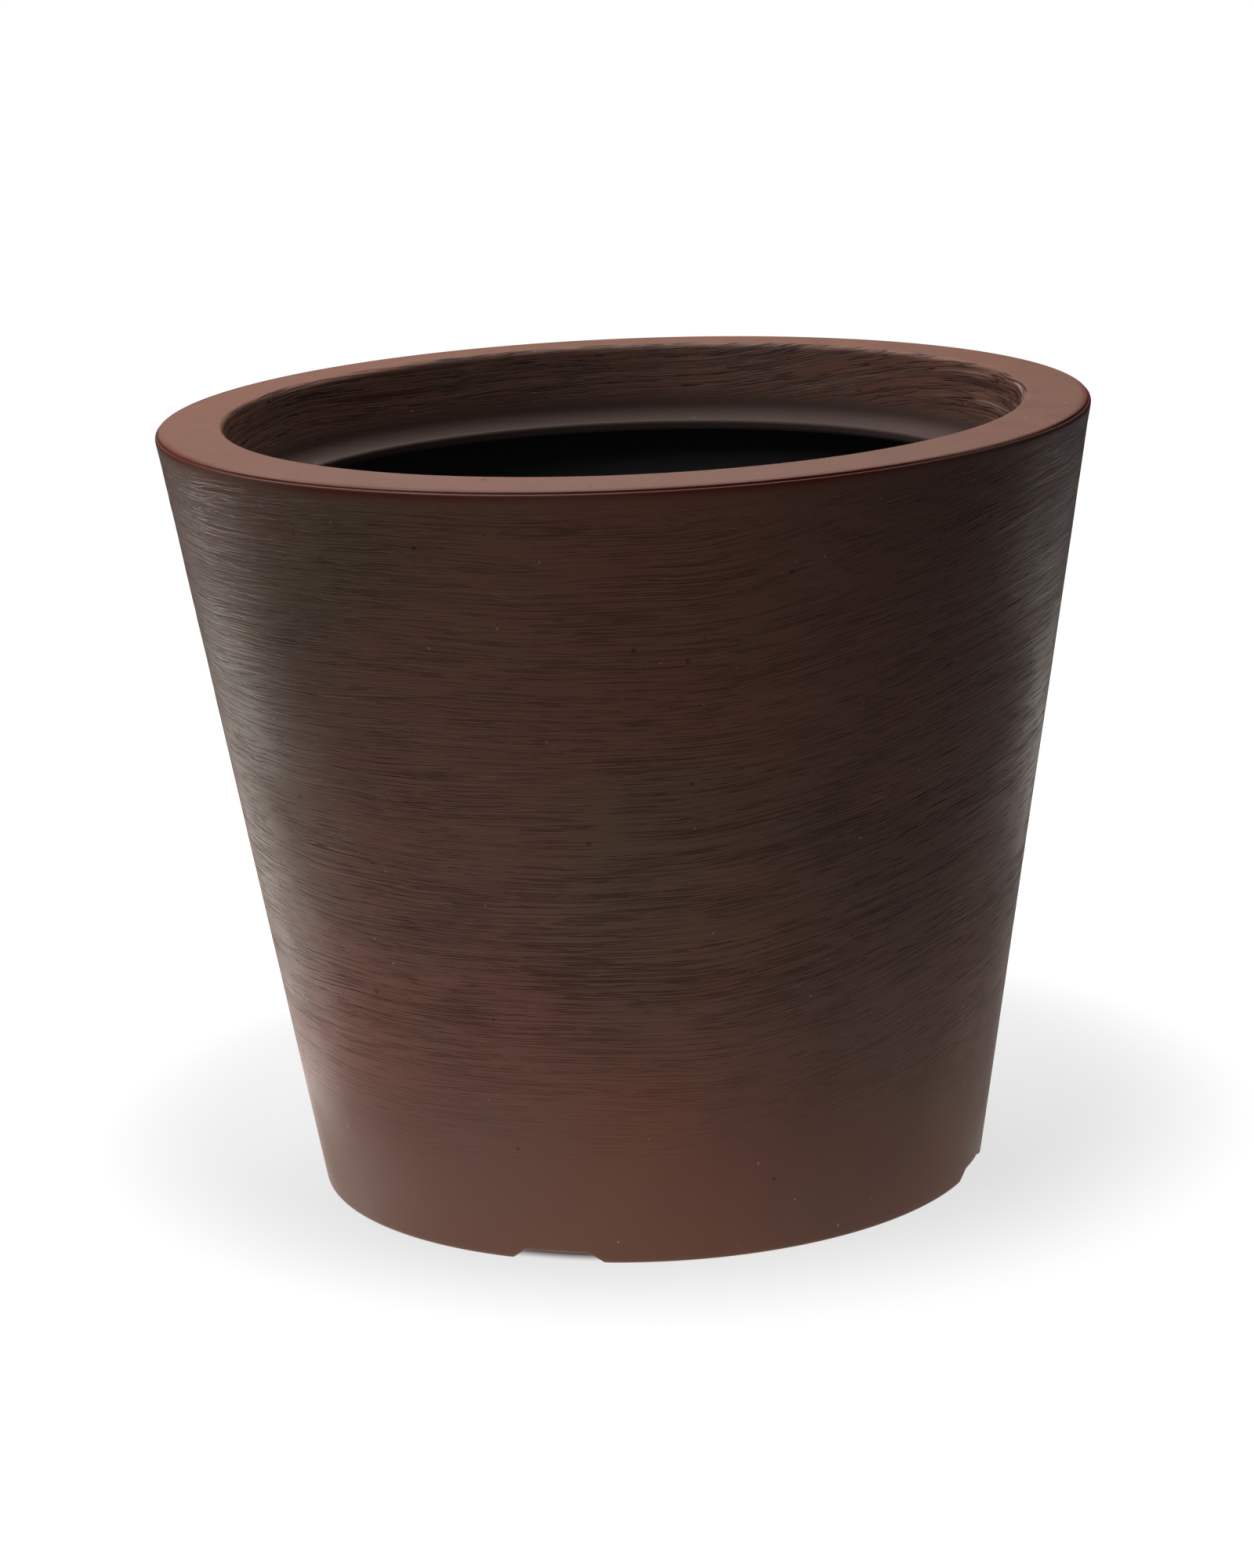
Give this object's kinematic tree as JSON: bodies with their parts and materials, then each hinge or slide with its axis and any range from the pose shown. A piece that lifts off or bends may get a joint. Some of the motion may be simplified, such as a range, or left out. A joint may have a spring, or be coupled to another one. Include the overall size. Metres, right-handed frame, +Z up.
{
  "type": "floor planter",
  "caption": "Round tapered floor planter, one hollow moulding with a broad flat rim, an inner collar, a raised floor on a notched foot ring, and push-in drain stoppers.",
  "frame": {"origin": "on the ground under the middle of the planter", "axes": "+Z up along the axis of the cone; the picture looks along +Y"},
  "size_m": [0.5986, 0.5986, 0.5048],
  "materials": {
    "moulded_plastic": "chocolate brown, coloured through, brushed strokes on wall and collar, smooth satin rim",
    "stopper_rubber": "black moulded rubber, matte"
  },
  "bodies": {
    "shell": {"planter_shell": "moulded_plastic"},
    "plug_front": {"drain_plug_front": "stopper_rubber"},
    "plug_right": {"drain_plug_right": "stopper_rubber"},
    "plug_back": {"drain_plug_back": "stopper_rubber"},
    "plug_left": {"drain_plug_left": "stopper_rubber"}
  },
  "joints": [
    {"name": "drain_plug_front_pull", "type": "slide", "parent": "shell", "child": "plug_front", "axis": [0, 0, 1], "range_m": [0, 0.04]},
    {"name": "drain_plug_right_pull", "type": "slide", "parent": "shell", "child": "plug_right", "axis": [0, 0, 1], "range_m": [0, 0.04]},
    {"name": "drain_plug_back_pull", "type": "slide", "parent": "shell", "child": "plug_back", "axis": [0, 0, 1], "range_m": [0, 0.04]},
    {"name": "drain_plug_left_pull", "type": "slide", "parent": "shell", "child": "plug_left", "axis": [0, 0, 1], "range_m": [0, 0.04]}
  ]
}
